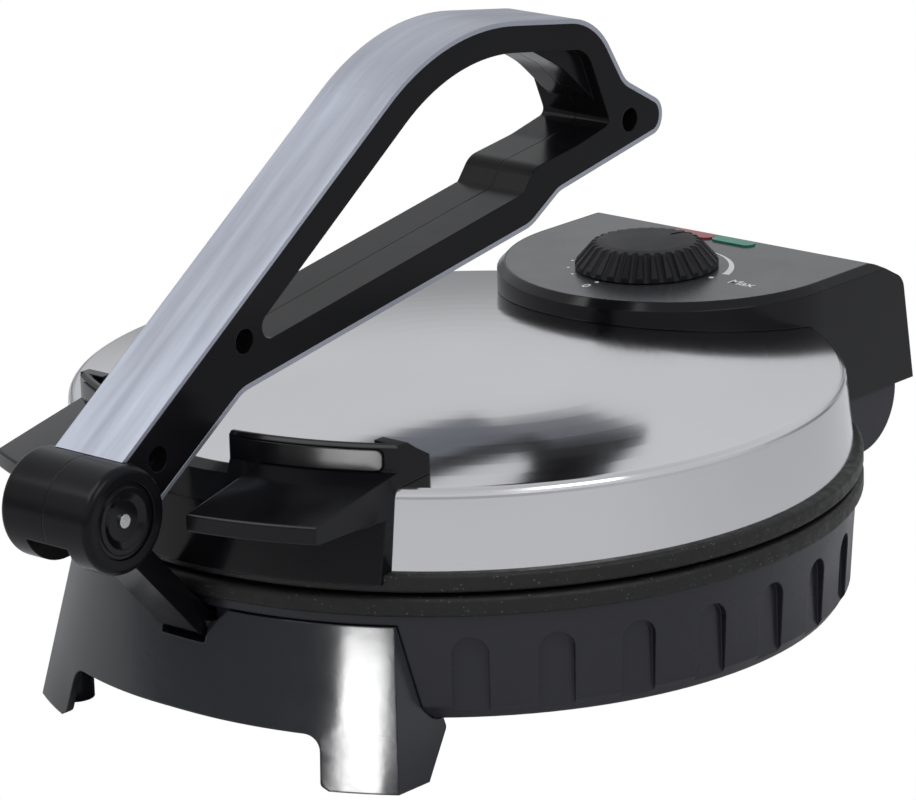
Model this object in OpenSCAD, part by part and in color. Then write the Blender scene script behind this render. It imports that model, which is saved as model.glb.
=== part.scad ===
/* [Plates] */
// Diameter over the rolled rims of the two cast plates
plate_d = 267; // [262:0.5:272]
// Diameter of the flat cooking face
face_d = 254; // [246:1:257]
// Height of the lower rim's underside above the table
plate_z = 54.5; // [54:0.25:57]
// Thickness of the lower plate's rim
lower_rim_t = 6.6; // [5.5:0.1:7]
// Thickness of the upper plate's rim
upper_rim_t = 6.3; // [5.5:0.1:7]
// Thickness of the cast plate inside its rim
plate_t = 4; // [3:0.25:4.5]
// Gap between the closed rims
plate_gap = 1.2; // [0.8:0.1:1.6]
// Depth of the cooking face below the rim
face_drop = 0.6; // [0.2:0.1:1]
// Radius of the heating element's ring
element_r = 82; // [70:1:92]
// Diameter of the element's tube
element_d = 6.6; // [5:0.2:8]

/* [Bowl] */
// Radius of the bowl at its top edge
bowl_top_r = 131; // [130:0.25:132]
// Radius of the bowl at the crease under the flutes
bowl_crease_r = 129; // [128:0.25:130]
// Height of the crease above the table
crease_z = 24; // [23:0.5:27]
// Height of the bowl's flat underside above the table
bowl_z = 18.5; // [16:0.5:20]
// Thickness of the bowl's side wall
bowl_wall = 6; // [5:0.25:6.5]
// Thickness of the bowl's floor
bowl_floor = 2.6; // [2:0.2:4]
// Angle from one flute to the next
flute_pitch = 12; // [10:1:18]
// Width of a flute
flute_w = 11.5; // [6:0.5:15]
// Height of a flute's arched top above the table
flute_top_z = 47; // [42:0.5:49]
// Depth of a flute
flute_depth = 1.5; // [1:0.25:2.5]
// Diameter of the round cover in the floor
cover_d = 150; // [120:2:160]
// Thickness of that cover
cover_t = 1.8; // [1.2:0.1:2.2]

/* [Front stand] */
// Radius of the stand's outer face at the table
stand_foot_r = 144.5; // [142:0.5:147]
// Radius of the stand's outer face at its top edge
stand_top_r = 131.5; // [131.25:0.25:133]
// Height of the stand's top edge
stand_h = 50.8; // [50:0.2:51]
// Half width over the feet at the table
stand_foot_x = 78; // [74:1:82]
// Half width of the stand at its top edge
stand_top_x = 69.2; // [67:0.5:72]
// Thickness of the stand's walls
stand_wall = 3; // [2.4:0.2:4]
// Height of the arch between the feet
arch_h = 17.5; // [14:0.5:20]
// Half width of the arch where the feet begin
arch_x = 54; // [50:1:57]
// Height of the notch's floor above the table
notch_z = 39.6; // [39:0.2:40]

/* [Link] */
// Distance of the lower pivot in front of the bowl's axis
link_pivot_y = 130; // [129.75:0.25:130.5]
// Height of the lower pivot
link_pivot_z = 44.6; // [44.2:0.2:45.4]
// Width of the link arm
link_w = 17; // [14:0.5:17]
// Thickness of the link arm
link_t = 8; // [6:0.5:8.5]
// Distance of the link's front face from the lower pivot
link_face = 5.1; // [4.8:0.1:5.4]
// Diameter of the lower pivot pin
link_pin_d = 3.2; // [2.6:0.2:3.6]

/* [Handle] */
// Distance of the barrel's axis in front of the bowl's axis
barrel_y = 175.3; // [174:0.5:178]
// Height of the barrel's axis
barrel_z = 92.3; // [91:0.5:93]
// Diameter of the barrel
barrel_d = 34.4; // [32:0.4:36]
// Length of the barrel
barrel_l = 37.8; // [36:0.5:44]
// Width of the moulded handle
handle_w = 28.6; // [24:0.5:32]
// Thickness of the band round the handle
band_t = 1.6; // [1:0.1:2]
// Diameter of the handle's pin
handle_pin_d = 6; // [5:0.5:8]
// Diameter of the recessed screw holes
screw_recess_d = 8; // [6:0.5:9]

/* [Front bracket] */
// Half width of the bracket
bracket_x = 68.5; // [62:0.5:72]
// Height of the bracket's top
bracket_top_z = 108; // [106:0.5:109]
// Radius of the bracket's upper front face
bracket_r = 126.4; // [125:0.2:128]
// Radius of the wings' front edge
wing_r = 160; // [150:1:164]
// Distance of a wing's inner end from the middle
wing_in_x = 27; // [23:1:34]
// Height of the wings' underside
wing_z = 85.7; // [84:0.5:87]
// Height of a wing's front edge
wing_lip = 5.8; // [4:0.2:7]
// Half width of the channel for the link
channel_x = 15.5; // [15:0.5:17]
// Height of the raised strip
trim_h = 6.9; // [5:0.2:7]

/* [Control housing] */
// Width of the housing
housing_w = 125; // [123:0.5:128]
// Distance from the bowl's axis to the housing's front
housing_front_y = 54.5; // [50:0.5:60]
// Distance from the bowl's axis to the housing's rear foot
housing_rear_y = 168.3; // [167.5:0.25:171]
// Height of the housing's top
housing_top_z = 107.9; // [107:0.25:110]
// Thickness of the housing's walls
housing_wall = 2.7; // [2:0.1:3]
// Size of the bevel round the top
housing_bevel = 2.6; // [1.5:0.2:3.5]
// Distance from the bowl's axis to the lid's hinge axis
hinge_y = 142; // [141.5:0.25:143]
// Height of the lid's hinge axis
hinge_z = 61; // [60.5:0.25:61.5]
// Radius of the hinge block
block_r = 20; // [18:0.5:21]
// Width of the hinge block
block_w = 118.8; // [112:0.5:119]
// Diameter of the hinge pins
hinge_pin_d = 5; // [4:0.5:6]

/* [Dial] */
// Distance from the bowl's axis to the dial's axis
dial_y = 100; // [97:0.5:103]
// Diameter of the knob's skirt
knob_d = 49.2; // [42:0.4:52]
// Diameter of the knob's top
knob_top_d = 37.6; // [30:0.4:40]
// Height of the knob
knob_h = 9; // [8:0.25:14]
// Number of flutes round the knob
knob_flutes = 30; // [12:1:32]
// Diameter of the spindle
spindle_d = 6; // [5:0.5:7]

/* [Lamps] */
// Length of a lens
lamp_l = 17.5; // [12:0.5:18]
// Width of a lens
lamp_w = 6; // [4:0.5:7]
// Distance from the bowl's axis to the row of lenses
lamp_y = 142; // [137:0.5:143]
// Place of the middle between the two lenses
lamp_mid_x = -4; // [-8:0.5:8]

/* [Lid] */
// Radius of the lid's wall at its foot
lid_foot_r = 130.4; // [130:0.1:131]
// Radius of the lid's wall at its shoulder
lid_top_r = 128.2; // [127.5:0.1:129.5]
// Height of the shoulder above the table
shoulder_z = 94.4; // [92:0.2:95]
// Height of the dome's middle above the table
dome_z = 101.5; // [99:0.25:102]
// Thickness of the lid's sheet
sheet_t = 0.9; // [0.6:0.1:1.2]

/* [Hidden] */
$fn = 96;

// Fits and clearances
pin_fit = 0.05;
seat_fit = 0.1;
cut = 1;

// Sizes that follow from the driving ones
plate_r = plate_d / 2;
face_r = face_d / 2;
stand_far = stand_foot_r + 10;
rear_top_y = housing_rear_y - 20.8;
lower_top_z = plate_z + lower_rim_t;
upper_z = lower_top_z + plate_gap;
upper_top_z = upper_z + upper_rim_t;
rib_out_r = bowl_top_r - bowl_wall - seat_fit;
rib_in_r = rib_out_r - 4;
rib_h = 4.5;
barrel_r = barrel_d / 2;
pad_out = 0.5;
pad_t = 3;

// The whole part is moved so that its outer box is centred on the origin
front_y = -(barrel_y + barrel_r);
shift_y = -(front_y + housing_rear_y) / 2;

module place() {
    translate([0, shift_y, 0]) children();
}

// A closed outline whose corners [x, y, r] are rounded with arcs of radius r
function arc_steps(turn, r) = max(2, ceil(abs(turn) / (r > 30 ? 2.5 : r > 8 ? 5 : 9)));
function unit(v) = v / norm(v);
function corner(p, q, s) =
    let (
        a = unit([p[0] - q[0], p[1] - q[1]]),
        b = unit([s[0] - q[0], s[1] - q[1]]),
        turn = acos(a * b),
        reach = q[2] / tan(turn / 2),
        mid = [q[0], q[1]] + unit(a + b) * (q[2] / sin(turn / 2)),
        from = [q[0], q[1]] + a * reach - mid,
        to = [q[0], q[1]] + b * reach - mid,
        steps = arc_steps(180 - turn, q[2]),
        sweep = (180 - turn) * sign(from[0] * to[1] - from[1] * to[0])
    )
    q[2] <= 0
        ? [[q[0], q[1]]]
        : [for (i = [0 : steps])
            let (g = sweep * i / steps)
            mid + [from[0] * cos(g) - from[1] * sin(g), from[0] * sin(g) + from[1] * cos(g)]];
function rounded(points) =
    let (n = len(points))
    [for (i = [0 : n - 1]) each corner(points[(i + n - 1) % n], points[i], points[(i + 1) % n])];

// Extrudes a (y, z) outline along x between two places
module along_x(from, to) {
    translate([from, 0, 0]) rotate([90, 0, 90]) linear_extrude(to - from) children();
}

// Extrudes an (x, z) outline along y between two places
module along_y(from, to) {
    translate([0, to, 0]) rotate([90, 0, 0]) linear_extrude(to - from) children();
}

module pin_x(r, from, to, y, z) {
    translate([from, y, z]) rotate([0, 90, 0]) cylinder(r = r, h = to - from);
}

module both_sides() {
    children();
    mirror([1, 0, 0]) children();
}

// Bowl

bowl_in_r = bowl_top_r - bowl_wall;
front_cut_r = stand_top_r - stand_wall - 0.3;
post_r = bowl_in_r - 25;
post_angles = [45, 135, 225, 315];
shield_z = 42.5;
shield_t = 0.8;
post_d = 9;
base_screw_d = 4;
cover_ledge = 5;
flute_skip = 38;

// The bowl's outer profile, from its top edge to its underside, moved out by a gap
function bowl_side(gap) =
    let (
        top = [bowl_top_r + gap, plate_z],
        crease = [bowl_crease_r + gap, crease_z, 1],
        foot = [bowl_crease_r - 4 + gap, bowl_z - gap, 4]
    )
    concat([top], corner(top, crease, foot), corner(crease, foot, [0, bowl_z - gap]));

module bowl_body() {
    rotate_extrude()
        polygon(concat([[bowl_in_r, plate_z]], bowl_side(0),
            [[cover_d / 2 - cover_ledge, bowl_z], [cover_d / 2 - cover_ledge, bowl_z + bowl_floor + cover_t],
                [bowl_in_r, bowl_z + bowl_floor + cover_t]]));
}

// The bowl's solid outer shape, for what stands against it
module bowl_envelope(gap) {
    rotate_extrude() polygon(concat(bowl_side(gap), [[0, bowl_z - gap], [0, plate_z]]));
}

module flute_cut() {
    r = flute_w / 2;
    floor_r = bowl_crease_r - flute_depth;
    translate([0, -floor_r, 0]) rotate([90, 0, 0]) linear_extrude(flute_depth * 4)
        union() {
            translate([0, flute_top_z - r]) circle(r, $fn = 32);
            translate([-r, bowl_z]) square([flute_w, flute_top_z - r - bowl_z]);
        }
}

module posts(z, d, h) {
    for (a = post_angles)
        rotate([0, 0, a]) translate([post_r, 0, z]) cylinder(d = d, h = h, $fn = 32);
}

module base_bowl() {
    color([0.09, 0.09, 0.11])
        difference() {
            union() {
                bowl_body();
                posts(bowl_z + bowl_floor, post_d, shield_z - bowl_z - bowl_floor);
            }
            for (a = [flute_skip + flute_pitch / 3 : flute_pitch : 180 - 24])
                for (side = [-1, 1]) rotate([0, 0, side * a]) flute_cut();
            translate([0, 0, bowl_z - cut]) cylinder(d = cover_d + 2 * seat_fit, h = cover_t + cut);
            posts(bowl_z - cut, base_screw_d + 2 * seat_fit, shield_z);
            posts(bowl_z - cut, 8, cut + 3);
            cover_screw_holes(2.2);
            front_relief();
            link_sweep(5.4);
        }
}

// Cuts the bowl back where the stand stands in front of it
module front_relief() {
    intersection() {
        difference() {
            translate([0, 0, -cut]) cylinder(r = stand_far, h = stand_h + 0.3 + cut);
            translate([0, 0, -2 * cut]) cylinder(r = front_cut_r, h = stand_h + 4 * cut);
        }
        stand_wedge(0.3);
    }
}

module link_sweep(r) {
    pin_x(r, -link_w / 2 - 0.7, link_w / 2 + 0.7, -link_pivot_y, link_pivot_z);
}

module bottom_cover() {
    color([0.12, 0.12, 0.13])
        difference() {
            translate([0, 0, bowl_z]) cylinder(d = cover_d, h = cover_t);
            cover_screw_holes(2.2);
        }
}

module cover_screw_holes(d) {
    for (a = [0 : 90 : 270])
        rotate([0, 0, a]) translate([cover_d / 2 - cover_ledge / 2, 0, bowl_z - cut])
            cylinder(d = d, h = cover_t + bowl_floor + 2 * cut, $fn = 24);
}

// Front stand

foot_post_d = 13.2;
foot_post_h = 14;
stand_lean = (stand_foot_x - stand_top_x) / stand_h;

module stand_wedge(grow) {
    along_y(-stand_far, -60)
        polygon([[-stand_foot_x - grow - stand_lean, -cut], [stand_foot_x + grow + stand_lean, -cut],
            [stand_top_x + grow, stand_h + cut], [-stand_top_x - grow, stand_h + cut]]);
}

// The side of the stand seen from the right, which hooks under the bowl
stand_side = rounded([
    [-stand_far, -cut, 0],
    [-stand_top_r + 23.2, -cut, 0],
    [-stand_top_r + 35.9, 14.9, 2],
    [-stand_top_r + 34.9, 19, 2],
    [-stand_top_r + 26.9, 25.2, 3],
    [-stand_top_r + 28.5, stand_h + cut, 0],
    [-stand_far, stand_h + cut, 0],
]);

module stand_cone(inset) {
    cylinder(r1 = stand_foot_r - inset, r2 = stand_top_r - inset, h = stand_h);
}

// The opening under the stand, between its feet
module arch_cut() {
    along_y(-stand_far, 0)
        polygon(rounded([
            [-arch_x - 7, -cut, 0],
            [-arch_x - 1.5, 2, 2],
            [-arch_x + 1, arch_h - 0.4, 6],
            [0, arch_h + 0.5, 300],
            [arch_x - 1, arch_h - 0.4, 6],
            [arch_x + 1.5, 2, 2],
            [arch_x + 7, -cut, 0],
        ]));
}

notch_x = link_w / 2 + 0.8;

module notch_cut() {
    along_y(-stand_far, -front_cut_r + 6)
        polygon([[-notch_x, notch_z], [notch_x, notch_z], [notch_x + 0.6, notch_z + 6.2],
            [notch_x + 3.3, notch_z + 7.7], [notch_x + 8.4, stand_h + cut], [-notch_x - 8.4, stand_h + cut],
            [-notch_x - 3.3, notch_z + 7.7], [-notch_x - 0.6, notch_z + 6.2]]);
}

module front_stand() {
    color([0.17, 0.17, 0.19])
        difference() {
            intersection() {
                stand_cone(0);
                stand_wedge(0);
                along_x(-100, 100) polygon(stand_side);
            }
            difference() {
                intersection() {
                    stand_cone(stand_wall);
                    along_y(-stand_far, -60)
                        polygon([[-stand_foot_x + stand_wall, -cut], [stand_foot_x - stand_wall, -cut],
                            [stand_top_x - stand_wall, stand_h], [-stand_top_x + stand_wall, stand_h]]);
                }
                translate([-15, -stand_foot_r, notch_z - stand_wall - 0.1]) cube([30, 30, stand_h]);
                both_sides() translate([pad_x, pad_y, -cut]) cylinder(d = foot_post_d, h = foot_post_h + cut);
            }
            intersection() {
                bowl_envelope(0.15);
                cylinder(r = front_cut_r + 0.15, h = stand_h + cut);
            }
            arch_cut();
            notch_cut();
            translate([-100, -200, -cut]) cube([200, 200, pad_out + cut]);
            pin_x(link_pin_d / 2 + pin_fit, -13, 13, -link_pivot_y, link_pivot_z);
            front_pads(seat_fit);
        }
}

pad_x = 67.5;
pad_y = -stand_top_r + 14.5;

module front_pads(gap) {
    both_sides() translate([pad_x, pad_y, 0]) cylinder(d = 9 + 2 * gap, h = pad_t, $fn = 32);
}

// Rear feet and pads

rear_foot_x = 42;
rear_foot_y = bowl_top_r - 27;

module rear_feet() {
    color([0.09, 0.09, 0.11])
        both_sides()
            difference() {
                translate([rear_foot_x, rear_foot_y, pad_out])
                    cylinder(r1 = 7.5, r2 = 9.5, h = bowl_z - pad_out, $fn = 48);
                translate([rear_foot_x, rear_foot_y, 0])
                    cylinder(d = 10 + 2 * seat_fit, h = pad_t, $fn = 32);
            }
}

module foot_pads() {
    color([0.2, 0.2, 0.2]) {
        front_pads(0);
        both_sides() translate([rear_foot_x, rear_foot_y, 0]) cylinder(d = 10, h = pad_t, $fn = 32);
    }
}

// Hinge block and its pins

ear_r = 7;
knuckle_in = 36;
knuckle_out = 44;
knuckle_gap = 0.3;

module hinge_block() {
    color([0.09, 0.09, 0.11])
        difference() {
            union() {
                along_x(-block_w / 2, block_w / 2)
                    intersection() {
                        union() {
                            translate([hinge_y, hinge_z]) circle(block_r);
                            translate([bowl_in_r - 40, hinge_z - block_r])
                                square([hinge_y - bowl_in_r + 40, block_r]);
                        }
                        translate([0, 0]) square([300, hinge_z + 0.3]);
                    }
                both_sides() pin_x(ear_r, knuckle_in - 6, knuckle_out + 6, hinge_y, hinge_z);
            }
            bowl_envelope(seat_fit);
            translate([0, 0, plate_z - seat_fit]) cylinder(r = plate_r + 0.3, h = 40);
            both_sides() {
                pin_x(ear_r + 0.6, knuckle_in - knuckle_gap, knuckle_out + knuckle_gap, hinge_y, hinge_z);
                translate([knuckle_in - knuckle_gap, hinge_y, hinge_z - ear_r - 0.6])
                    cube([knuckle_out - knuckle_in + 2 * knuckle_gap, 40, 40]);
                pin_x(hinge_pin_d / 2 + pin_fit, knuckle_in - 4, knuckle_out + 8, hinge_y, hinge_z);
            }
            gland_hole(gland_r + seat_fit);
        }
}

module hinge_pins() {
    color([0.7, 0.7, 0.72])
        both_sides() pin_x(hinge_pin_d / 2, knuckle_in - 4, knuckle_out + 5.5, hinge_y, hinge_z);
}

gland_r = 4.5;
gland_drop = 8;
gland_z = hinge_z - gland_drop;
gland_y = hinge_y + sqrt(block_r * block_r - gland_drop * gland_drop) - 6;

module gland_hole(r) {
    translate([0, gland_y, gland_z]) rotate([-90, 0, 0]) cylinder(r = r, h = 20, $fn = 48);
}

module cord_gland() {
    color([0.1, 0.1, 0.1])
        translate([0, gland_y, gland_z]) rotate([-90, 0, 0])
            difference() {
                cylinder(r = gland_r, h = 6.8, $fn = 48);
                translate([0, 0, 2]) cylinder(r = gland_r - 1.4, h = 20, $fn = 48);
            }
}

module link_pin() {
    color([0.7, 0.7, 0.72]) pin_x(link_pin_d / 2, -12.8, 12.8, -link_pivot_y, link_pivot_z);
}

module screw(x, y, z, d, head_d, head_h, length) {
    translate([x, y, z]) {
        cylinder(d = head_d, h = head_h, $fn = 32);
        cylinder(d = d, h = length, $fn = 32);
    }
}

module base_screws() {
    color([0.72, 0.72, 0.74]) {
        for (a = post_angles)
            rotate([0, 0, a]) screw(post_r, 0, bowl_z + 0.2, base_screw_d, 7.4, 1.8, 32);
        for (a = [0 : 90 : 270])
            rotate([0, 0, a]) screw(cover_d / 2 - cover_ledge / 2, 0, bowl_z - 1, 2, 4, 1, 3.6);
    }
}

// Cast plates, drawn with the underside of the rim at zero and the face upward

lug_d = 10;

module plate(rim_t, lug_h, rib_r) {
    face_z = rim_t - face_drop;
    difference() {
        union() {
            rotate_extrude()
                polygon(concat(
                    [[0, face_z - plate_t], [0, face_z], [face_r, face_z], [face_r + 2, rim_t]],
                    corner([face_r + 2, rim_t], [plate_r, rim_t, 2], [plate_r, 0]),
                    corner([plate_r, rim_t], [plate_r, 0, 1.5], [rib_r, 0]),
                    [[rib_r, 0], [rib_r, -rib_h], [rib_r - 4, -rib_h], [rib_r - 4, face_z - plate_t]]));
            posts(-lug_h, lug_d, lug_h + face_z - plate_t / 2);
            translate([0, 0, -3]) difference() {
                cylinder(r = element_r + 7, h = face_z - plate_t + 3.5);
                translate([0, 0, -cut]) cylinder(r = element_r - 7, h = 20);
            }
        }
        posts(-lug_h - cut, base_screw_d + 2 * pin_fit, 12);
        translate([0, 0, -3]) rotate_extrude()
            translate([element_r, 0]) circle(element_d / 2 + seat_fit, $fn = 32);
    }
}

module element(z) {
    translate([0, 0, z]) rotate([0, 0, 110]) {
        rotate_extrude(angle = 320) translate([element_r, 0]) circle(element_d / 2, $fn = 32);
        for (a = [3, 317])
            rotate([0, 0, a]) translate([element_r, 0, -10]) cylinder(d = element_d * 0.7, h = 10, $fn = 32);
    }
}

lug_lower_h = plate_z - shield_z - shield_t;

module lower_plate() {
    color([0.08, 0.08, 0.08]) translate([0, 0, plate_z]) plate(lower_rim_t, lug_lower_h, rib_out_r);
}

module lower_element() {
    color([0.5, 0.5, 0.52]) element(plate_z - 3);
}

module shield(z, r) {
    difference() {
        translate([0, 0, z]) cylinder(r = r, h = shield_t);
        posts(z - cut, base_screw_d + 2 * seat_fit, shield_t + 2 * cut);
        rotate([0, 0, 110]) for (a = [3, 317])
            rotate([0, 0, a]) translate([element_r, 0, z - cut]) cylinder(d = 8, h = 3 * cut, $fn = 32);
    }
}

module lower_heat_shield() {
    color([0.75, 0.75, 0.76]) shield(shield_z, bowl_in_r - 0.3);
}

// Lid

dome_rise = dome_z - shoulder_z;
dome_edge_r = lid_top_r - 3.2;
dome_sphere_r = (dome_edge_r * dome_edge_r + dome_rise * dome_rise) / (2 * dome_rise);
dome_steps = 16;
function dome_at(r) = dome_z - dome_sphere_r + sqrt(dome_sphere_r * dome_sphere_r - r * r);

function lid_outline(inset) = concat(
    [for (i = [0 : dome_steps]) let (r = dome_edge_r * i / dome_steps) [r, dome_at(r) - inset]],
    [for (g = [75 : -15 : 0])
        [dome_edge_r + (3.2 - inset) * cos(g), shoulder_z - 3.2 + (3.2 - inset) * sin(g)]],
    [[lid_foot_r - inset, upper_top_z]]);

module lid_solid(gap) {
    rotate_extrude()
        polygon(concat(lid_outline(-gap), [[lid_foot_r + gap, upper_top_z - 8], [0, upper_top_z - 8]]));
}

module lid_shell() {
    color([0.78, 0.78, 0.8])
        difference() {
            rotate_extrude()
                polygon(concat(lid_outline(0), [[lid_foot_r - sheet_t, upper_top_z]],
                    [for (i = [len(lid_outline(sheet_t)) - 1 : -1 : 0]) lid_outline(sheet_t)[i]]));
            for (x = [-1, 1]) translate([x * lid_boss_x, lid_boss_y, 80]) cylinder(d = 3.4, h = 40, $fn = 24);
            for (x = [-1, 1])
                rotate([0, 0, x * bracket_screw_a]) translate([0, -lid_foot_r - 5, bracket_screw_z])
                    rotate([-90, 0, 0]) cylinder(d = 3.4, h = 20, $fn = 24);
        }
}

upper_shield_z = 79;
upper_lug_h = upper_shield_z - upper_top_z;
lid_boss_x = 42;
lid_boss_y = dial_y - 2;
bracket_screw_a = 20;
bracket_screw_z = 76;

module upper_plate() {
    color([0.08, 0.08, 0.08])
        translate([0, 0, upper_top_z]) mirror([0, 0, 1])
            plate(upper_rim_t, upper_lug_h, lid_foot_r - sheet_t - 0.7);
}

module upper_element() {
    color([0.5, 0.5, 0.52])
        translate([0, 0, upper_top_z + 3]) mirror([0, 0, 1]) element(0);
}

module upper_heat_shield() {
    color([0.75, 0.75, 0.76]) shield(upper_shield_z, lid_top_r - sheet_t - 0.2);
}

module lid_screws() {
    color([0.72, 0.72, 0.74]) {
        for (a = post_angles)
            rotate([0, 0, a]) translate([post_r, 0, upper_shield_z + shield_t + 2]) mirror([0, 0, 1])
                screw(0, 0, 0, base_screw_d, 7.4, 2, 10);
        for (x = [-1, 1])
            screw(x * lid_boss_x, lid_boss_y, dome_at(norm([lid_boss_x, lid_boss_y])) - sheet_t - 2.2,
                3, 6, 1.8, 9);
        for (x = [-1, 1])
            rotate([0, 0, x * bracket_screw_a])
                translate([0, -lid_foot_r + sheet_t + 3, bracket_screw_z]) rotate([90, 0, 0])
                    screw(0, 0, 0, 3, 5, 1.6, 5);
    }
}

// Front bracket

bracket_in_r = bracket_r - 3;
bracket_core_r = lid_top_r - 8.2;
bracket_core_z = shoulder_z - 9.4;
trim_top_gap = 1.5;
trim_z = bracket_top_z - trim_top_gap - trim_h;
trim_r = bracket_r + 0.6;
trim_seat_r = bracket_r - 0.4;
trim_in_x = channel_x + 0.5;
trim_out_x = bracket_x - 4;
skirt_z = upper_z + 3.2;
skirt_foot_r = plate_r + 1.7;
skirt_top_r = skirt_foot_r - 3.2;

module bracket_revolve() {
    rotate_extrude()
        polygon([[bracket_in_r, bracket_core_z], [bracket_in_r, bracket_top_z - 0.8],
            [bracket_in_r + 0.8, bracket_top_z], [bracket_r - 1, bracket_top_z],
            [bracket_r, bracket_top_z - 1], [bracket_r, trim_z - 0.2],
            [skirt_top_r, wing_z], [skirt_foot_r, skirt_z],
            [bracket_core_r, skirt_z], [bracket_core_r, bracket_core_z]]);
}

module wing_revolve() {
    rotate_extrude()
        polygon(rounded([[bracket_core_r, wing_z, 0], [wing_r, wing_z, 1], [wing_r, wing_z + wing_lip, 1],
            [bracket_r, trim_z - 0.2, 0], [bracket_core_r, trim_z - 0.2, 0]]));
}

module front_bracket() {
    color([0.06, 0.06, 0.07])
        difference() {
            union() {
                intersection() {
                    bracket_revolve();
                    translate([-bracket_x, -200, 0]) cube([2 * bracket_x, 200 - 60, 200]);
                }
                intersection() {
                    wing_revolve();
                    both_sides() translate([wing_in_x, -200, 0]) cube([bracket_x - wing_in_x, 200 - 60, 200]);
                }
                both_sides() along_x(bracket_x - 10, bracket_x)
                    translate([-bracket_in_r, bracket_top_z])
                        polygon([[17.4, 0], [21.4, 0], [25.7, -2.9], [31.5, -6.3], [31.5, -18], [17.4, -18]]);
            }
            lid_solid(0.12);
            translate([0, 0, upper_z - cut]) cylinder(r = plate_r + 0.15, h = upper_rim_t + cut + 0.1);
            channel_cut();
            trim_ring(trim_seat_r, trim_seat_r + 5, 0.05);
            for (x = [-1, 1])
                rotate([0, 0, x * bracket_screw_a]) translate([0, -lid_foot_r - 2.6, bracket_screw_z])
                    rotate([-90, 0, 0]) cylinder(d = 3.1, h = 20, $fn = 24);
        }
}

// Clearance for the link and the handle's arm in the middle of the bracket
module channel_cut() {
    along_x(-channel_x, channel_x)
        polygon([[-wing_r - 10, wing_z], [-skirt_top_r - 0.5, wing_z], [-skirt_top_r + 1.8, wing_z + 4.3],
            [-skirt_top_r + 3.4, shoulder_z], [-skirt_top_r + 12, shoulder_z + 3.1],
            [-skirt_top_r + 28, shoulder_z + 9.1], [-skirt_top_r + 28, bracket_top_z + 12],
            [-wing_r - 10, bracket_top_z + 12]]);
}

module trim_ring(inner, outer, gap) {
    both_sides()
        intersection() {
            translate([0, 0, trim_z - gap]) difference() {
                cylinder(r = outer, h = trim_h + 2 * gap);
                translate([0, 0, -cut]) cylinder(r = inner, h = trim_h + 3 * cut);
            }
            along_y(-150, -60)
                polygon(rounded([
                    [trim_in_x - gap, trim_z - gap, 0],
                    [trim_out_x + gap, trim_z - gap, 2],
                    [trim_out_x + gap, trim_z + trim_h + gap, 2],
                    [trim_in_x - gap, trim_z + trim_h + gap, 0],
                ]));
        }
}

module bracket_trim() {
    color([0.12, 0.12, 0.13]) trim_ring(trim_seat_r, trim_r, 0);
}

// Control housing

housing_x = housing_w / 2;
panel_t = 1;
panel_z = housing_top_z - panel_t;
roof_z = panel_z - 2;
front_c_y = housing_front_y + housing_x;
rear_mid_y = housing_rear_y - 5.6;
rear_mid_z = housing_top_z - 8.2;
housing_foot_z = upper_z + 0.5;
boss_z = shoulder_z - 9.4;

module side_section(inset, z) {
    polygon([[-housing_x + inset, z], [housing_x - inset, z],
        [housing_x - inset, housing_top_z - housing_bevel - inset * 0.4],
        [housing_x - housing_bevel - inset * 0.4, housing_top_z - inset],
        [-housing_x + housing_bevel + inset * 0.4, housing_top_z - inset],
        [-housing_x + inset, housing_top_z - housing_bevel - inset * 0.4]]);
}

// Keeps the round front of the housing, up to where its straight sides begin
module front_half() {
    intersection() {
        union() children();
        translate([-100, front_c_y - 100, 0]) cube([200, 100, 200]);
    }
}

module housing_outer() {
    top = housing_top_z - housing_bevel;
    front_half() {
        translate([0, front_c_y, 80]) cylinder(r = housing_x, h = top - 80);
        translate([0, front_c_y, top])
            cylinder(r1 = housing_x, r2 = housing_x - housing_bevel, h = housing_bevel);
    }
    intersection() {
        along_y(front_c_y, housing_rear_y) side_section(0, housing_foot_z);
        along_x(-80, 80)
            polygon(rounded([
                [front_c_y - 10, housing_foot_z, 0],
                [housing_rear_y, housing_foot_z, 0],
                [rear_mid_y, rear_mid_z, 7],
                [rear_top_y, housing_top_z, 9],
                [front_c_y - 10, housing_top_z, 0],
            ]));
    }
}

module housing_hollow() {
    front_half() translate([0, front_c_y, 70]) cylinder(r = housing_x - housing_wall, h = roof_z - 70);
    intersection() {
        translate([-housing_x + housing_wall, front_c_y, housing_foot_z - cut])
            cube([housing_w - 2 * housing_wall, 80, roof_z - housing_foot_z + cut]);
        along_x(-80, 80)
            polygon([[front_c_y - 1, housing_foot_z - cut],
                [housing_rear_y - housing_wall, housing_foot_z - cut],
                [rear_mid_y - housing_wall, rear_mid_z - 1], [rear_top_y - 2, housing_top_z - housing_wall],
                [front_c_y - 1, housing_top_z - housing_wall]]);
    }
}

module panel_outline(gap) {
    r = housing_x - housing_bevel - 0.4 + gap;
    intersection() {
        translate([0, front_c_y]) circle(r);
        translate([-r, front_c_y - r]) square([2 * r, r]);
    }
    translate([-r, front_c_y]) square([2 * r, rear_top_y - 0.8 + gap - front_c_y]);
}

module knuckle_arm() {
    difference() {
        union() {
            pin_x(ear_r, knuckle_in, knuckle_out, hinge_y, hinge_z);
            translate([knuckle_in, hinge_y - ear_r, hinge_z])
                cube([knuckle_out - knuckle_in, 2 * ear_r, roof_z - hinge_z + 0.5]);
        }
        pin_x(hinge_pin_d / 2 + pin_fit, knuckle_in - cut, knuckle_out + cut, hinge_y, hinge_z);
    }
}

module lamp_outline(grow) {
    r = lamp_w / 2 + grow;
    half = lamp_l / 2 - lamp_w / 2;
    translate([-half, 0]) circle(r, $fn = 32);
    translate([half, 0]) circle(r, $fn = 32);
    translate([-half, -r]) square([2 * half, 2 * r]);
}

module lamp_at(side) {
    translate([lamp_mid_x + side * (lamp_l / 2 + 0.15), lamp_y, 0]) children();
}

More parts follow.
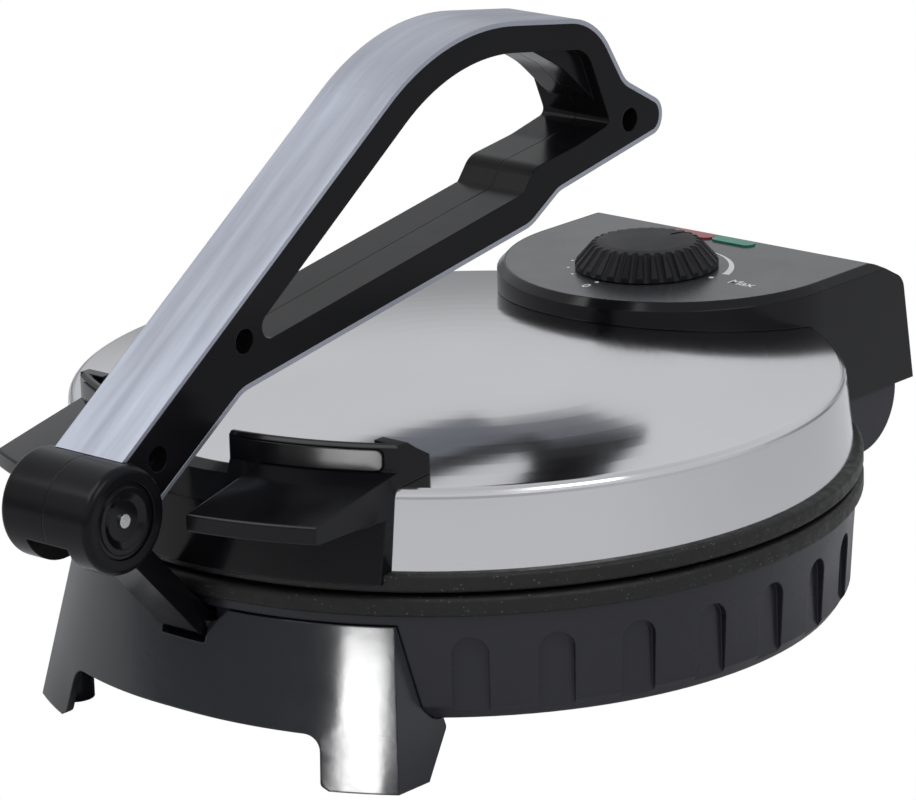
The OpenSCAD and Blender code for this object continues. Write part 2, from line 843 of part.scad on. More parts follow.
module control_housing() {
    color([0.05, 0.05, 0.06]) {
        difference() {
            union() {
                difference() {
                    housing_outer();
                    housing_hollow();
                    translate([0, 0, panel_z]) linear_extrude(5) panel_outline(0.05);
                }
                both_sides() translate([lid_boss_x, lid_boss_y, boss_z])
                    cylinder(d = 8, h = roof_z - boss_z + 0.5, $fn = 32);
                both_sides() knuckle_arm();
            }
            lid_solid(0.12);
            translate([0, 0, upper_z - cut]) cylinder(r = plate_r + 0.3, h = upper_rim_t + cut + 0.2);
            both_sides() translate([lid_boss_x, lid_boss_y, boss_z])
                cylinder(d = 3.1, h = roof_z - boss_z - 1, $fn = 24);
            translate([0, dial_y, roof_z - cut]) cylinder(d = spindle_d + 1.6, h = 10, $fn = 48);
            for (side = [-1, 1])
                translate([0, 0, roof_z - cut]) linear_extrude(10) lamp_at(side) lamp_outline(seat_fit);
        }
    }
}

module control_panel() {
    color([0.24, 0.24, 0.25])
        difference() {
            translate([0, 0, panel_z]) linear_extrude(panel_t) panel_outline(0);
            translate([0, dial_y, panel_z - cut]) cylinder(d = spindle_d + 1.6, h = 10, $fn = 48);
            for (side = [-1, 1])
                translate([0, 0, panel_z - cut]) linear_extrude(10) lamp_at(side) lamp_outline(seat_fit);
        }
}

thermostat_l = 26;
thermostat_h = roof_z - dome_at(dial_y - thermostat_l / 2) - 0.5;

module thermostat() {
    color([0.85, 0.83, 0.78])
        difference() {
            translate([-thermostat_l / 2, dial_y - thermostat_l / 2, roof_z - thermostat_h])
                cube([thermostat_l, thermostat_l, thermostat_h]);
            translate([0, dial_y, roof_z - 3]) cylinder(d = spindle_d + 2 * pin_fit, h = 10, $fn = 48);
        }
}

module lamp_lens(side) {
    lamp_at(side) {
        translate([0, 0, roof_z]) linear_extrude(housing_top_z + 0.6 - roof_z) lamp_outline(0);
        translate([0, 0, roof_z - 2]) linear_extrude(2)
            intersection() {
                lamp_outline(1);
                translate([-lamp_l / 2 - (side > 0 ? 0.05 : 2), -20]) square([lamp_l + 2.05, 40]);
            }
    }
}

module red_lamp() {
    color([0.7, 0.1, 0.08]) lamp_lens(-1);
}

module green_lamp() {
    color([0.05, 0.45, 0.3]) lamp_lens(1);
}

// Dial

knob_gap = 0.5;
knob_z = housing_top_z + knob_gap;
knob_r = knob_d / 2;
knob_top_r = knob_top_d / 2;
knob_lean = atan2(knob_r - knob_top_r, knob_h - 2.5);
pointer_a = 75;

module dial_knob() {
    color([0.03, 0.03, 0.03])
        translate([0, dial_y, knob_z])
            difference() {
                rotate_extrude()
                    polygon(rounded([
                        [0, 0, 0],
                        [knob_r, 0, 0],
                        [knob_r, 1.8, 0.8],
                        [knob_top_r, knob_h - 0.7, 1.2],
                        [knob_top_r - 4, knob_h, 8],
                        [0, knob_h, 0],
                    ]));
                for (i = [0 : knob_flutes - 1])
                    rotate([0, 0, pointer_a + (i + 0.5) * 360 / knob_flutes])
                        translate([knob_r + 1.1, 0, 0.9]) rotate([0, -knob_lean, 0])
                            cylinder(r = 1.5, h = knob_h * 1.6, $fn = 16);
                rotate([0, 0, pointer_a]) translate([knob_top_r * 0.55, -0.7, knob_h - 0.9])
                    cube([knob_top_r * 0.4, 1.4, 2]);
                translate([0, 0, -cut]) cylinder(d = spindle_d + 2 * pin_fit, h = knob_h - 2, $fn = 48);
            }
}

spindle_z = roof_z - 2.7;
spindle_top_z = knob_z + knob_h - 3.3;

module dial_spindle() {
    color([0.75, 0.75, 0.77])
        translate([0, dial_y, spindle_z]) cylinder(d = spindle_d, h = spindle_top_z - spindle_z, $fn = 48);
}

// Link

bar_dy = -barrel_y + link_pivot_y;
bar_dz = barrel_z - link_pivot_z;
bar_angle = atan2(bar_dz, bar_dy);
bar_length = norm([bar_dy, bar_dz]);
eye_r = link_t / 2 + 0.4;
top_eye_r = 8.5;
bush_t = 1.5;

// The bar's side, from the lower pivot to the barrel: distances along the bar and towards its front face
module link_bar() {
    polygon([for (e = [[0, 1 - eye_r], [0, link_face - 0.5], [3, link_face], [bar_length, link_t / 2],
        [bar_length, -link_t / 2], [3, link_face - link_t]])
        [-link_pivot_y + e[0] * cos(bar_angle) - e[1] * sin(bar_angle),
            link_pivot_z + e[0] * sin(bar_angle) + e[1] * cos(bar_angle)]]);
}

module link_arm() {
    color([0.07, 0.07, 0.08])
        difference() {
            union() {
                pin_x(eye_r, -link_w / 2, link_w / 2, -link_pivot_y, link_pivot_z);
                pin_x(top_eye_r, -link_w / 2, link_w / 2, -barrel_y, barrel_z);
                along_x(-link_w / 2, link_w / 2) link_bar();
            }
            pin_x(link_pin_d / 2 + pin_fit, -20, 20, -link_pivot_y, link_pivot_z);
            pin_x(handle_pin_d / 2 + bush_t + seat_fit, -20, 20, -barrel_y, barrel_z);
        }
}

module link_bush() {
    color([0.7, 0.7, 0.72])
        difference() {
            pin_x(handle_pin_d / 2 + bush_t, -link_w / 2, link_w / 2, -barrel_y, barrel_z);
            pin_x(handle_pin_d / 2 + pin_fit, -20, 20, -barrel_y, barrel_z);
        }
}

// Handle

handle_x = handle_w / 2;
seam = 0.1;

// Outlines of the handle are given from the barrel's axis, along y and z
function from_barrel(p) = [p[0] - barrel_y, p[1] + barrel_z];
function at_barrel(points) = [for (p = rounded(points)) from_barrel(p)];

// The handle's outer edge from the barrel round the nose and back, inside the band
handle_edge = at_barrel([
    [2.3, 14, 0],
    [158.6, 122.4, 85],
    [232.6, 110.6, 26],
    [247.1, 86.9, 12],
    [266.3, 75.9, 5],
    [264.9, 68.9, 4],
    [212.3, 59.1, 12],
    [197.5, 50.3, 14],
    [57.7, 27.5, 14],
    [17.3, 0.5, 0],
]);

// That edge and the barrel as one closed shape
module handle_flat() {
    polygon(handle_edge);
    translate([-barrel_y, barrel_z]) circle(barrel_r);
}

module loop_opening() {
    polygon(at_barrel([
        [54.5, 37.2, 4.2],
        [162.6, 112.9, 75],
        [228.7, 102.3, 11],
        [240.1, 74.9, 2.5],
        [222.3, 70.9, 30],
        [200.6, 68, 8],
        [194.5, 60.5, 0.8],
    ]));
}

// The middle of the nose fills the loop's upper rear corner for the fingers
core_x = 10;

module nose_core() {
    polygon(at_barrel([
        [197.3, 109.7, 0],
        [205.3, 105.7, 20],
        [221.3, 96.7, 40],
        [236.7, 83.1, 0],
        [241.3, 81.7, 0],
        [235.3, 109.7, 0],
    ]));
}

slot_half = link_w / 2 + 0.3;
handle_swing = 95;

// Clearance for the link inside the barrel, over the handle's whole swing
module link_slot() {
    half = link_t / 2 + 0.6;
    to = bar_angle - 180;
    from = to - handle_swing;
    r = barrel_r + 6;
    translate([-barrel_y, barrel_z]) {
        circle(top_eye_r + 0.5, $fn = 64);
        for (g = [from, to]) rotate([0, 0, g]) translate([0, -half]) square([r, 2 * half]);
        polygon(concat([[0, 0]],
            [for (i = [0 : 8]) let (g = from + (to - from) * i / 8) r * [cos(g), sin(g)]]));
    }
}

barrel_round = 2.4;
screw_holes = [for (p = [[59.7, 42], [19.5, 14], [250, 74.2]]) from_barrel(p)];
boss_hole_d = 3;
recess_depth = 9;
handle_head_h = 1.6;

module barrel_half() {
    end = barrel_l / 2 - seam / 2;
    rotate_extrude()
        polygon(rounded([[0, 0, 0], [barrel_r, 0, 0], [barrel_r, end, barrel_round], [0, end, 0]]));
}

module handle_half() {
    difference() {
        union() {
            along_x(seam / 2, handle_x) difference() {
                handle_flat();
                loop_opening();
            }
            along_x(seam / 2, core_x) intersection() {
                polygon(handle_edge);
                nose_core();
            }
            translate([seam / 2, -barrel_y, barrel_z]) rotate([0, 90, 0]) barrel_half();
        }
        along_x(-1, slot_half) link_slot();
        pin_x(handle_pin_d / 2 + pin_fit, -1, barrel_l / 2 - 3.5, -barrel_y, barrel_z);
        pin_x(12.2, barrel_l / 2 - 3, barrel_l / 2 + cut, -barrel_y, barrel_z);
        pin_x(1.55, 0, barrel_l / 2, -barrel_y, barrel_z);
        for (p = screw_holes) {
            pin_x(screw_recess_d / 2, handle_x - recess_depth, handle_x + cut, p[0], p[1]);
            pin_x(boss_hole_d / 2 + pin_fit, -1, handle_x, p[0], p[1]);
        }
    }
}

module handle_right() {
    color([0.05, 0.05, 0.06]) handle_half();
}

module handle_left() {
    color([0.05, 0.05, 0.06]) mirror([1, 0, 0]) handle_half();
}

// The band follows the handle's edge: each point moves out along the edge's normal
function edge_normal(i) =
    let (
        n = len(handle_edge),
        a = handle_edge[max(i - 1, 0)],
        b = handle_edge[min(i + 1, n - 1)],
        d = unit(b - a)
    )
    [-d[1], d[0]];
band_outer = [for (i = [0 : len(handle_edge) - 1]) handle_edge[i] + edge_normal(i) * band_t];

module handle_band() {
    color([0.68, 0.7, 0.75])
        difference() {
            along_x(-handle_x, handle_x)
                polygon(concat(band_outer, [for (i = [len(handle_edge) - 1 : -1 : 0]) handle_edge[i]]));
            pin_x(barrel_r + 0.1, -30, 30, -barrel_y, barrel_z);
        }
}

module barrel_caps() {
    color([0.05, 0.05, 0.06])
        both_sides()
            translate([barrel_l / 2 - 3, -barrel_y, barrel_z]) rotate([0, 90, 0])
                difference() {
                    union() {
                        cylinder(r = 12.1, h = 2.2);
                        cylinder(r = 10.6, h = 2.8);
                    }
                    translate([0, 0, 1.6]) cylinder(r1 = 6.5, r2 = 9, h = 1.3);
                    cylinder(d = 3.2, h = 9, center = true, $fn = 24);
                }
}

module handle_pin() {
    color([0.75, 0.75, 0.77])
        pin_x(handle_pin_d / 2, -barrel_l / 2 + 3.6, barrel_l / 2 - 3.6, -barrel_y, barrel_z);
}

module handle_screws() {
    color([0.8, 0.8, 0.8]) {
        for (p = screw_holes) {
            pin_x(boss_hole_d / 2, -6, handle_x - recess_depth + 0.1, p[0], p[1]);
            pin_x(3, handle_x - recess_depth, handle_x - recess_depth + handle_head_h, p[0], p[1]);
        }
        both_sides() {
            pin_x(1.5, barrel_l / 2 - 3.5, barrel_l / 2 - 1.3, -barrel_y, barrel_z);
            pin_x(2.2, barrel_l / 2 - 1.4, barrel_l / 2 - 0.4, -barrel_y, barrel_z);
        }
    }
}

place() base_bowl();
place() front_stand();
place() bottom_cover();
place() hinge_block();
place() rear_feet();
place() foot_pads();
place() lower_plate();
place() lower_element();
place() lower_heat_shield();
place() hinge_pins();
place() link_pin();
place() base_screws();
place() cord_gland();
place() lid_shell();
place() upper_plate();
place() upper_element();
place() upper_heat_shield();
place() front_bracket();
place() bracket_trim();
place() control_housing();
place() control_panel();
place() thermostat();
place() red_lamp();
place() green_lamp();
place() lid_screws();
place() link_arm();
place() link_bush();
place() handle_right();
place() handle_left();
place() handle_band();
place() barrel_caps();
place() handle_pin();
place() handle_screws();
place() dial_knob();
place() dial_spindle();
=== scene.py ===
import math

import bmesh
import bpy
from mathutils import Matrix, Vector


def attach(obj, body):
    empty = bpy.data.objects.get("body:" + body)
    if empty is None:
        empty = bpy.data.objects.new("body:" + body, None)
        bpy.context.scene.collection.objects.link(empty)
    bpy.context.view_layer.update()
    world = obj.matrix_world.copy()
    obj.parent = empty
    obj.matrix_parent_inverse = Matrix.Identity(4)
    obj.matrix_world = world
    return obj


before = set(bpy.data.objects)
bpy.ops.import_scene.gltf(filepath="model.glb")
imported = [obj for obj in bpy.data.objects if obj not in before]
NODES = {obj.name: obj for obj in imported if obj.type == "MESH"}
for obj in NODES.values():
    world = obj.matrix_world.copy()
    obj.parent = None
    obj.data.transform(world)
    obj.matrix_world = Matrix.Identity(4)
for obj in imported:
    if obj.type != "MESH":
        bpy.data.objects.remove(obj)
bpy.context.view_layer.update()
SCENE = bpy.context.scene
SHIFT_Y = 0.0121  # how far the bowl's axis lies behind the middle of the part

SCENE.view_settings.view_transform = "Standard"
SCENE.view_settings.look = "None"

# Camera, solved from the photograph

AZIMUTH, ELEVATION, ROLL = (math.radians(a) for a in (41.31, 16.82, -1.65))
EYE = Vector((1.08865, -1.23861 + SHIFT_Y, 0.57911))
SENSOR_MM = 36
LENS_MM = 204.96
LENS_SHIFT = (-0.0006, 0.01235)
CLIP_END = 30


def direction(azimuth, elevation):
    """The way from the object to a viewer; azimuth 0 is its front, and grows to its right."""
    return Vector((math.sin(azimuth) * math.cos(elevation), -math.cos(azimuth) * math.cos(elevation),
                   math.sin(elevation)))


def make_camera():
    back = direction(AZIMUTH, ELEVATION)
    level = Vector((math.cos(AZIMUTH), math.sin(AZIMUTH), 0))
    up = back.cross(level)
    right = level * math.cos(ROLL) + up * math.sin(ROLL)
    top = -level * math.sin(ROLL) + up * math.cos(ROLL)
    data = bpy.data.cameras.new("camera")
    data.sensor_width = SENSOR_MM
    data.lens = LENS_MM
    data.shift_x, data.shift_y = LENS_SHIFT
    data.clip_end = CLIP_END
    camera = bpy.data.objects.new("camera", data)
    SCENE.collection.objects.link(camera)
    camera.matrix_world = Matrix.Translation(EYE) @ Matrix((right, top, back)).transposed().to_4x4()
    SCENE.camera = camera


# Materials

# Moulded plastics: colour and the spread of its tone, roughness and its spread, the grain's scale
# and depth, the radius of softened edges, and the strength of reflections
PLASTICS = {
    "gloss_black": ((0.004, 0.004, 0.005), 0.25, 0.16, 0.04, 900, 0.000004, 0.0006, 0.22),
    "handle_black": ((0.005, 0.005, 0.006), 0.25, 0.2, 0.04, 900, 0.000004, 0.0006, 0.12),
    "stand_gloss": ((0.012, 0.013, 0.017), 0.2, 0.13, 0.03, 260, 0.000016, 0.0007, 0.5),
    "bowl_satin": ((0.012, 0.012, 0.018), 0.2, 0.3, 0.05, 500, 0.00001, 0.0007, 0.35),
    "panel_matte": ((0.036, 0.037, 0.041), 0.06, 0.26, 0.03, 1500, 0.000006, 0.0, 0.5),
    "knob_matte": ((0.009, 0.009, 0.011), 0.25, 0.5, 0.05, 900, 0.00001, 0.0004, 0.2),
    "rubber": ((0.018, 0.018, 0.018), 0.2, 0.7, 0.05, 400, 0.00003, 0.0, 0.32),
}

# Brushed metals: colour, roughness, how the pattern is stretched along each axis, and the radius
# of softened edges
METALS = {
    "pin_steel": ((0.62, 0.62, 0.62), 0.25, (2.0, 700.0, 700.0), 0.0002),
    "sheet_aluminium": ((0.75, 0.75, 0.76), 0.4, (500.0, 6.0, 6.0), 0.0),
    "element_steel": ((0.3, 0.3, 0.29), 0.45, (300.0, 300.0, 20.0), 0.0),
}

LENSES = {
    "red_lens": (0.28, 0.03, 0.035),
    "green_lens": (0.0, 0.2, 0.12),
}

# The nodes that each material goes on
LOOK = {
    "bowl_satin": ("base_bowl", "bottom_cover", "hinge_block", "rear_feet"),
    "stand_gloss": ("front_stand",),
    "rubber": ("foot_pads", "cord_gland"),
    "cast_coating": ("lower_plate", "upper_plate"),
    "element_steel": ("lower_element", "upper_element", "thermostat"),
    "sheet_aluminium": ("lower_heat_shield", "upper_heat_shield"),
    "pin_steel": ("hinge_pins", "link_pin", "base_screws", "lid_screws", "link_bush", "handle_pin",
                  "handle_screws", "dial_spindle"),
    "lid_steel": ("lid_shell",),
    "gloss_black": ("front_bracket", "bracket_trim", "control_housing", "link_arm", "barrel_caps"),
    "handle_black": ("handle_right", "handle_left"),
    "panel_matte": ("control_panel",),
    "band_silver": ("handle_band",),
    "knob_matte": ("dial_knob",),
    "red_lens": ("red_lamp",),
    "green_lens": ("green_lamp",),
}


class Shader:
    """A node material: named sockets of one Principled shader, and small helpers for its patterns."""

    def __init__(self, name, **sockets):
        self.mat = bpy.data.materials.new(name)
        self.mat.use_nodes = True
        self.tree = self.mat.node_tree
        self.bsdf = self.tree.nodes["Principled BSDF"]
        for key, value in sockets.items():
            self.bsdf.inputs[key.replace("_", " ")].default_value = value
        self.coord = None

    def node(self, kind, **settings):
        """A node with its settings, each of which is a property or the value of a socket."""
        made = self.tree.nodes.new(kind)
        for key, value in settings.items():
            if hasattr(made, key):
                setattr(made, key, value)
            else:
                made.inputs[key.replace("_", " ")].default_value = value
        return made

    def link(self, a, b):
        self.tree.links.new(a, b)

    def feed(self, socket, value):
        self.link(value, self.bsdf.inputs[socket])

    def place(self, scale=(1, 1, 1), offset=(0, 0, 0)):
        if self.coord is None:
            self.coord = self.node("ShaderNodeTexCoord")
        mapping = self.node("ShaderNodeMapping", Location=offset, Scale=scale)
        self.link(self.coord.outputs["Object"], mapping.inputs["Vector"])
        return mapping.outputs["Vector"]

    def noise(self, vector, scale, detail=3.0, rough=0.5):
        made = self.node("ShaderNodeTexNoise", Scale=scale, Detail=detail, Roughness=rough)
        self.link(vector, made.inputs["Vector"])
        return made.outputs["Fac"]

    def ramp(self, value, low, high, a=0.3, b=0.7):
        """Maps a pattern's a..b to the two colours or grey levels low..high."""
        made = self.node("ShaderNodeValToRGB")
        for stop, place, colour in zip(made.color_ramp.elements, (a, b), (low, high)):
            stop.position = place
            stop.color = grey(colour) if isinstance(colour, float) else (*colour, 1)
        self.link(value, made.inputs["Fac"])
        return made.outputs["Color"]

    def bump(self, height, depth, strength=1.0, after=None):
        """Adds a pattern's relief to the surface, or to the normal that comes after it."""
        made = self.node("ShaderNodeBump", Strength=strength, Distance=depth)
        self.link(height, made.inputs["Height"])
        if after is not None:
            self.link(after, made.inputs["Normal"])
        return made.outputs["Normal"]

    def soft_edges(self, radius):
        if not radius:
            return None
        return self.node("ShaderNodeBevel", samples=6, Radius=radius).outputs["Normal"]


def grey(level):
    return (level, level, level, 1)


def scaled(colour, factor):
    return [c * factor for c in colour]


def moulded(name, colour, spread, rough, rough_spread, grain, depth, edge, shine):
    """Moulded plastic: a faint change of tone, a fine grain and uneven gloss."""
    s = Shader(name, Specular_IOR_Level=shine)
    where = s.place()
    tone = s.noise(where, scale=14, detail=4)
    s.feed("Base Color", s.ramp(tone, scaled(colour, 1 - spread), scaled(colour, 1 + spread)))
    gloss = s.noise(where, scale=60, detail=5)
    s.feed("Roughness", s.ramp(gloss, rough - rough_spread, rough + rough_spread))
    s.feed("Normal", s.bump(s.noise(where, scale=grain, detail=2), depth, after=s.soft_edges(edge)))
    return s.mat


def brushed(name, colour, rough, stretch, edge):
    """Metal brushed along one direction, with long fine scratches."""
    s = Shader(name, Metallic=1.0)
    lines = s.noise(s.place(scale=stretch), scale=1.0, detail=4, rough=0.6)
    cloud = s.noise(s.place(), scale=9)
    s.feed("Base Color", s.ramp(cloud, scaled(colour, 0.94), scaled(colour, 1.03)))
    s.feed("Roughness", s.ramp(lines, rough * 0.8, rough * 1.25))
    s.feed("Normal", s.bump(lines, depth=0.00002, strength=0.35, after=s.soft_edges(edge)))
    return s.mat


def lid_material(name):
    """Stainless steel brushed in circles round the lid: reflections smear towards its middle."""
    s = Shader(name, Metallic=1.0, Anisotropic=0.3)
    tangent = s.node("ShaderNodeTangent", direction_type="RADIAL", axis="Z")
    s.feed("Tangent", tangent.outputs["Tangent"])
    spot = s.node("ShaderNodeSeparateXYZ")
    s.link(s.place(offset=(0, -SHIFT_Y, 0)), spot.inputs[0])
    flat = s.node("ShaderNodeCombineXYZ")
    s.link(spot.outputs["X"], flat.inputs["X"])
    s.link(spot.outputs["Y"], flat.inputs["Y"])
    radius = s.node("ShaderNodeVectorMath", operation="LENGTH")
    s.link(flat.outputs[0], radius.inputs[0])
    rings = s.node("ShaderNodeCombineXYZ")
    s.link(radius.outputs["Value"], rings.inputs["X"])
    s.link(spot.outputs["Z"], rings.inputs["Y"])
    lines = s.noise(rings.outputs[0], scale=1400.0, rough=0.6)
    cloud = s.noise(s.place(), scale=7)
    s.feed("Base Color", s.ramp(cloud, (0.54, 0.54, 0.555), (0.60, 0.595, 0.605)))
    s.feed("Roughness", s.ramp(lines, 0.11, 0.14))
    return s.mat


def band_material(name):
    """Satin silver paint over metal, with faint long clouds along the handle."""
    s = Shader(name, Metallic=0.75)
    along = s.noise(s.place(scale=(120.0, 9.0, 9.0)), scale=1.0, detail=4, rough=0.6)
    s.feed("Base Color", s.ramp(along, (0.31, 0.325, 0.375), (0.45, 0.475, 0.55)))
    s.feed("Roughness", s.ramp(along, 0.30, 0.42))
    grain = s.noise(s.place(), scale=800, detail=2)
    s.feed("Normal", s.bump(grain, depth=0.000006, after=s.soft_edges(0.0004)))
    return s.mat


def cast_material(name):
    """Cast plate under a fleck coating: a rough skin with bright grains."""
    s = Shader(name, Specular_IOR_Level=0.3)
    where = s.place()
    flecks = s.node("ShaderNodeTexVoronoi", Scale=2600.0)
    s.link(where, flecks.inputs["Vector"])
    mix = s.node("ShaderNodeMix", data_type="RGBA")
    s.link(s.ramp(flecks.outputs["Color"], 0.0, 1.0, 0.90, 0.94), mix.inputs["Factor"])
    mix.inputs["A"].default_value = (0.009, 0.009, 0.0085, 1)
    mix.inputs["B"].default_value = (0.09, 0.09, 0.085, 1)
    s.feed("Base Color", mix.outputs["Result"])
    s.feed("Roughness", s.ramp(s.noise(where, scale=250, detail=4), 0.42, 0.62))
    rings = s.noise(s.place(scale=(60.0, 60.0, 900.0)), scale=1.0, detail=4, rough=0.6)
    lumps = s.noise(where, scale=420, detail=4, rough=0.7)
    skin = s.bump(lumps, depth=0.0002, strength=0.6, after=s.soft_edges(0.0006))
    s.feed("Normal", s.bump(rings, depth=0.00012, strength=0.5, after=skin))
    return s.mat


def lens_material(name, colour):
    """A clear coloured lens with fine ribs inside."""
    s = Shader(name, Transmission_Weight=0.2, IOR=1.49, Specular_IOR_Level=0.25)
    where = s.place()
    tone = s.noise(where, scale=220, detail=2)
    s.feed("Base Color", s.ramp(tone, scaled(colour, 0.85), scaled(colour, 1.2)))
    s.feed("Roughness", s.ramp(s.noise(where, scale=120, detail=2), 0.12, 0.2))
    ribs = s.node("ShaderNodeTexWave", Scale=260.0)
    s.link(where, ribs.inputs["Vector"])
    s.feed("Normal", s.bump(ribs.outputs["Fac"], depth=0.00005, strength=0.25))
    return s.mat


def make_materials():
    mats = {name: moulded(name, *row) for name, row in PLASTICS.items()}
    mats.update({name: brushed(name, *row) for name, row in METALS.items()})
    mats.update({name: lens_material(name, colour) for name, colour in LENSES.items()})
    for name, make in (("lid_steel", lid_material), ("band_silver", band_material),
                       ("cast_coating", cast_material)):
        mats[name] = make(name)
    mats["mark_white"] = Shader("mark_white", Base_Color=(0.75, 0.75, 0.76, 1), Roughness=0.5).mat
    return mats


def dress():
    for look, names in LOOK.items():
        for name in names:
            mesh = NODES[name].data
            mesh.materials.clear()
            mesh.materials.append(MATS[look])


# Dial marks, printed on the panel

PANEL_Z = 0.1079
PRINT_Z = PANEL_Z + 0.00001
PRINT_T = 0.00005
TEXT_Z = PANEL_Z + 0.00003
TEXT_T = 0.00002
TEXT_BOLD = 0.00008
DIAL_X, DIAL_Y = 0, 0.0997 + SHIFT_Y

# Each dot's distance from the dial's axis, its angle and its radius
DOTS = ((0.027, -161, 0.00055), (0.0267, -142, 0.00055), (0.0265, -123, 0.00055),
        (0.0256, -92, 0.00075), (0.0272, 3, 0.0009))
DOT_STEPS = 20

# The heat scale: an arc that grows wider as it turns
ARC_R = 0.0283
ARC_FROM, ARC_TO = 80, 14
ARC_THIN, ARC_THICK = 0.0002, 0.0026
ARC_STEPS = 40

# Each label's name, text, alignment, distance from the dial's axis, angle and size
LABELS = (("dial_zero", "0", "CENTER", 0.0312, -92, 0.0052),
          ("dial_max", "Max", "LEFT", 0.0352, 2, 0.0062))


def polar(radius, angle, x=DIAL_X, y=DIAL_Y):
    a = math.radians(angle)
    return (x + radius * math.cos(a), y + radius * math.sin(a))


def prism(bm, points):
    """A thin slab over a closed outline."""
    bottom = [bm.verts.new((x, y, PRINT_Z)) for x, y in points]
    top = [bm.verts.new((x, y, PRINT_Z + PRINT_T)) for x, y in points]
    bm.faces.new(bottom[::-1])
    bm.faces.new(top)
    for i in range(len(points)):
        bm.faces.new((bottom[i - 1], bottom[i], top[i], top[i - 1]))


def print_on_panel(name, mesh):
    """A white mark that rides on the lid."""
    mesh.materials.clear()
    mesh.materials.append(MATS["mark_white"])
    piece = bpy.data.objects.new(name, mesh)
    SCENE.collection.objects.link(piece)
    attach(piece, "lid")


def make_scale():
    bm = bmesh.new()
    for radius, angle, size in DOTS:
        spot = polar(radius, angle)
        prism(bm, [polar(size, 360 * i / DOT_STEPS, *spot) for i in range(DOT_STEPS)])
    inner, outer = [], []
    for i in range(ARC_STEPS + 1):
        t = i / ARC_STEPS
        angle = ARC_FROM + (ARC_TO - ARC_FROM) * t
        inner.append(polar(ARC_R, angle))
        outer.append(polar(ARC_R + ARC_THIN + (ARC_THICK - ARC_THIN) * t, angle))
    prism(bm, inner + outer[::-1])
    bmesh.ops.recalc_face_normals(bm, faces=bm.faces)
    mesh = bpy.data.meshes.new("dial_scale")
    bm.to_mesh(mesh)
    bm.free()
    print_on_panel("dial_scale", mesh)


def make_label(name, body, align, radius, angle, size):
    curve = bpy.data.curves.new(name, "FONT")
    curve.body = body
    curve.size = size
    curve.align_x = align
    curve.align_y = "CENTER"
    curve.extrude = TEXT_T
    curve.offset = TEXT_BOLD
    text = bpy.data.objects.new(name + "_text", curve)
    SCENE.collection.objects.link(text)
    text.matrix_world = Matrix.Translation((*polar(radius, angle), TEXT_Z))
    bpy.context.view_layer.update()
    mesh = bpy.data.meshes.new_from_object(text.evaluated_get(bpy.context.evaluated_depsgraph_get()))
    mesh.transform(text.matrix_world)
    bpy.data.objects.remove(text)
    print_on_panel(name, mesh)


# Studio

AIM = (0, 0, 0.09)  # where the lamps face unless they say otherwise
LAMP_GLOSS = 0.35  # how much of a room lamp shows in reflections
WORLD_TINT, WORLD_STRENGTH = (0.96, 0.98, 1, 1), 0.55
ROOM_TINT = (0.97, 0.98, 1, 1)
WHITE = grey(1)
FLOOR_HALF = 6

# The room as reflections see it: grey at the horizon, light higher up, by the ray's height
ROOM_LEVELS = ((0.0, 0.3), (0.12, 0.42), (0.25, 0.8), (0.5, 0.9), (1.0, 0.75))


def area(name, azimuth, elevation, distance, width, height, power, look=AIM, only=()):
    """A soft light that faces a point.

    A light with only is a reflected highlight, kept to the pieces named."""
    target = Vector(look) + Vector((0, SHIFT_Y, 0))
    place = target + distance * direction(math.radians(azimuth), math.radians(elevation))
    data = bpy.data.lights.new(name, "AREA")
    data.shape = "RECTANGLE"
    data.size, data.size_y = width, height
    data.energy = power
    data.specular_factor = 1.0 if only else LAMP_GLOSS
    lamp = bpy.data.objects.new(name, data)
    SCENE.collection.objects.link(lamp)
    lamp.location = place
    lamp.rotation_euler = (target - place).to_track_quat("-Z", "Y").to_euler()
    lamp.visible_camera = False
    if only:
        lamp.visible_diffuse = False
        seen = bpy.data.collections.new(name + "_on")
        for piece in only:
            seen.objects.link(NODES[piece])
        lamp.light_linking.receiver_collection = seen


def choose(tree, factor, usual, other):
    """One shader where the factor is 0 and the other where it is 1."""
    mix = tree.nodes.new("ShaderNodeMixShader")
    tree.links.new(factor, mix.inputs["Fac"])
    tree.links.new(usual, mix.inputs[1])
    tree.links.new(other, mix.inputs[2])
    return mix.outputs[0]


def background(tree, colour, strength=1.0):
    made = tree.nodes.new("ShaderNodeBackground")
    made.inputs["Color"].default_value = colour
    made.inputs["Strength"].default_value = strength
    return made


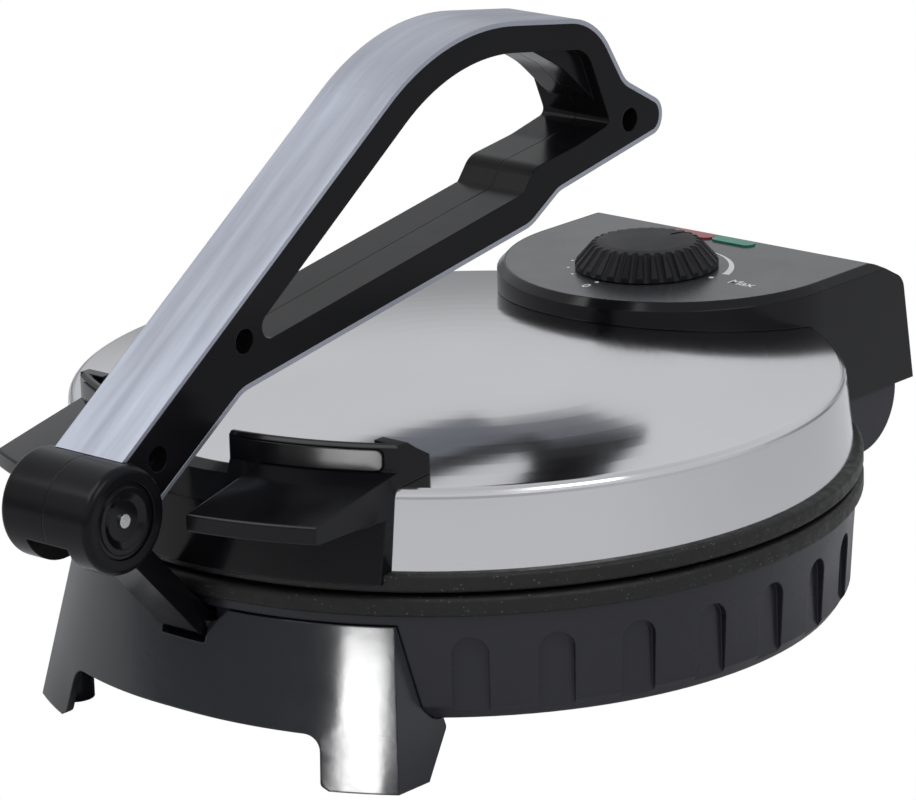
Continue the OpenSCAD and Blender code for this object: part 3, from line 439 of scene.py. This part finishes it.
def room(tree):
    """The brightness of ROOM_LEVELS at the height that a ray points to."""
    coord = tree.nodes.new("ShaderNodeTexCoord")
    parts = tree.nodes.new("ShaderNodeSeparateXYZ")
    tree.links.new(coord.outputs["Generated"], parts.inputs[0])
    made = tree.nodes.new("ShaderNodeValToRGB")
    stops = made.color_ramp.elements
    lowest, *between, highest = ROOM_LEVELS
    for stop, (place, level) in zip(stops, (lowest, highest)):
        stop.position, stop.color = place, grey(level)
    for place, level in between:
        stops.new(place).color = grey(level)
    tree.links.new(parts.outputs["Z"], made.inputs["Fac"])
    return made.outputs["Color"]


def make_world():
    world = bpy.data.worlds.new("world")
    SCENE.world = world
    world.use_nodes = True
    tree = world.node_tree
    tree.nodes.clear()
    out = tree.nodes.new("ShaderNodeOutputWorld")
    path = tree.nodes.new("ShaderNodeLightPath")
    light = background(tree, WORLD_TINT, WORLD_STRENGTH)
    shown = background(tree, WHITE)
    glossy = background(tree, ROOM_TINT)
    tree.links.new(room(tree), glossy.inputs["Strength"])
    bounced = choose(tree, path.outputs["Is Glossy Ray"], light.outputs[0], glossy.outputs[0])
    seen = choose(tree, path.outputs["Is Camera Ray"], bounced, shown.outputs[0])
    tree.links.new(seen, out.inputs["Surface"])


def make_floor():
    """A matt floor that takes part in the light and shows as plain white."""
    bm = bmesh.new()
    bmesh.ops.create_grid(bm, x_segments=1, y_segments=1, size=FLOOR_HALF)
    mesh = bpy.data.meshes.new("floor")
    bm.to_mesh(mesh)
    bm.free()
    floor = bpy.data.objects.new("floor", mesh)
    SCENE.collection.objects.link(floor)
    s = Shader("floor_white", Base_Color=(0.8, 0.8, 0.81, 1), Roughness=0.9, Specular_IOR_Level=0.0)
    shown = s.node("ShaderNodeEmission", Strength=1.0)
    path = s.node("ShaderNodeLightPath")
    seen = choose(s.tree, path.outputs["Is Camera Ray"], s.bsdf.outputs[0], shown.outputs[0])
    s.link(seen, s.tree.nodes["Material Output"].inputs["Surface"])
    mesh.materials.append(s.mat)


make_camera()
MATS = make_materials()
dress()
make_scale()
for label in LABELS:
    make_label(*label)
make_world()
make_floor()
area("key", azimuth=-30, elevation=55, distance=1.6, width=1.1, height=1.1, power=11)
area("fill", azimuth=75, elevation=40, distance=1.8, width=1.0, height=0.8, power=7)
area("front_strip", azimuth=17, elevation=7, distance=0.6, width=0.13, height=0.075, power=1.05,
     look=(0.03, -0.13, 0.028), only=("front_stand",))
area("front_floor", azimuth=11, elevation=-17, distance=0.33, width=0.12, height=0.05, power=0.5,
     look=(0.05, -0.115, 0.101), only=("bracket_trim",))
